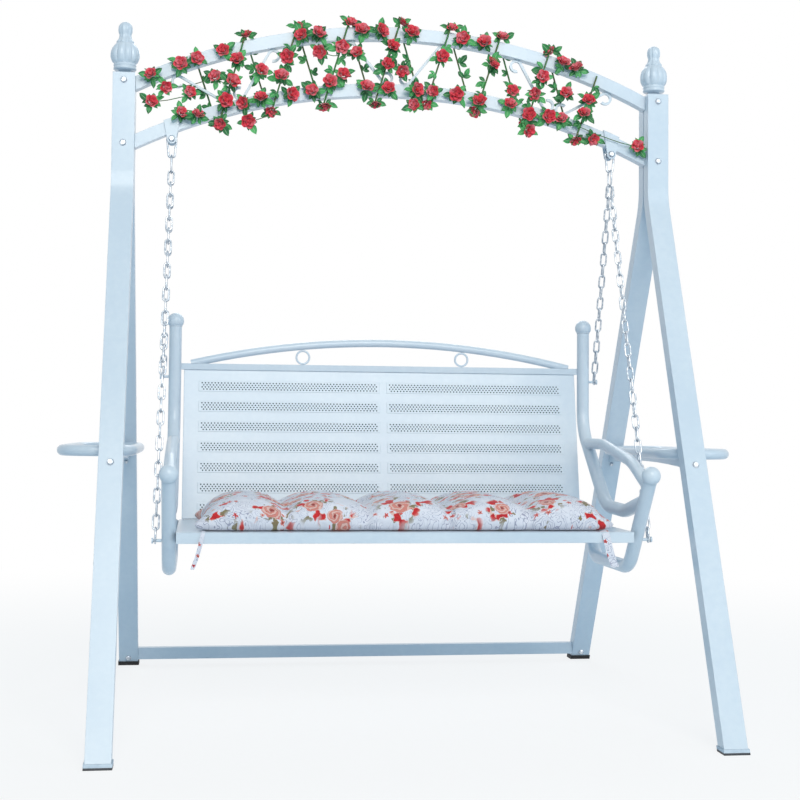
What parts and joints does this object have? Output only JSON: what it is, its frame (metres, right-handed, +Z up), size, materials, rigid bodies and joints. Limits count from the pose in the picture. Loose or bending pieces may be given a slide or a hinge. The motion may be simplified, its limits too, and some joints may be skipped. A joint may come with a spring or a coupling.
{
  "type": "garden swing",
  "caption": "Steel garden swing: an arched scroll truss with a rose garland on bent A-frame legs, and a chain-hung bench with a perforated back and a flowered cushion.",
  "frame": {"origin": "on the floor, in the middle of the swing's box", "axes": "+X to the right as the sitter's front is seen, +Y to the back, +Z up"},
  "size_m": [1.79, 1.4882, 1.9105],
  "materials": {
    "paint": "satin",
    "zinc": "satin",
    "chain_steel": "gloss",
    "rubber": "matte",
    "cushion_cloth": "matte",
    "ribbon": "matte",
    "vine": "matte",
    "leaves": "matte",
    "roses": "matte"
  },
  "bodies": {
    "frame": {"finials": "paint", "foot_bolts": "zinc", "foot_front_left": "rubber", "foot_front_right": "rubber", "foot_rear_left": "rubber", "foot_rear_right": "rubber", "front_leg_left": "paint", "front_leg_right": "paint", "garland_leaves": "leaves", "garland_roses": "roses", "garland_vine": "vine", "hanger_bolts": "zinc", "hanger_links": "zinc", "hanger_nuts": "zinc", "hanger_saddles": "paint", "lower_arch": "paint", "post_bolts": "zinc", "post_nuts": "zinc", "rear_leg_left": "paint", "rear_leg_right": "paint", "rear_stretcher": "paint", "side_hoops": "paint", "side_ties": "paint", "tie_bolts": "zinc", "truss_plate_left": "paint", "truss_plate_right": "paint", "truss_scrolls": "paint", "upper_arch": "paint"},
    "swing_seat": {"arm_left": "paint", "arm_right": "paint", "back_arch": "paint", "back_panel": "paint", "back_post_left": "paint", "back_post_right": "paint", "back_rings": "paint", "back_top_rail": "paint", "ball_caps": "paint", "chain_front_left": "chain_steel", "chain_front_right": "chain_steel", "chain_rear_left": "chain_steel", "chain_rear_right": "chain_steel", "chain_studs": "paint", "chain_top_links": "chain_steel", "cushion_tie_left": "ribbon", "cushion_tie_right": "ribbon", "front_post_left": "paint", "front_post_right": "paint", "seat_cushion": "cushion_cloth", "seat_front_rail": "paint", "seat_panel": "paint", "seat_rear_rail": "paint", "seat_side_rail_left": "paint", "seat_side_rail_right": "paint"}
  },
  "joints": [
    {"name": "swing", "type": "hinge", "parent": "frame", "child": "swing_seat", "pos_m": [0, -0.09458, 1.51208], "axis": [1, 0, 0], "range_deg": [-25, 25]}
  ]
}
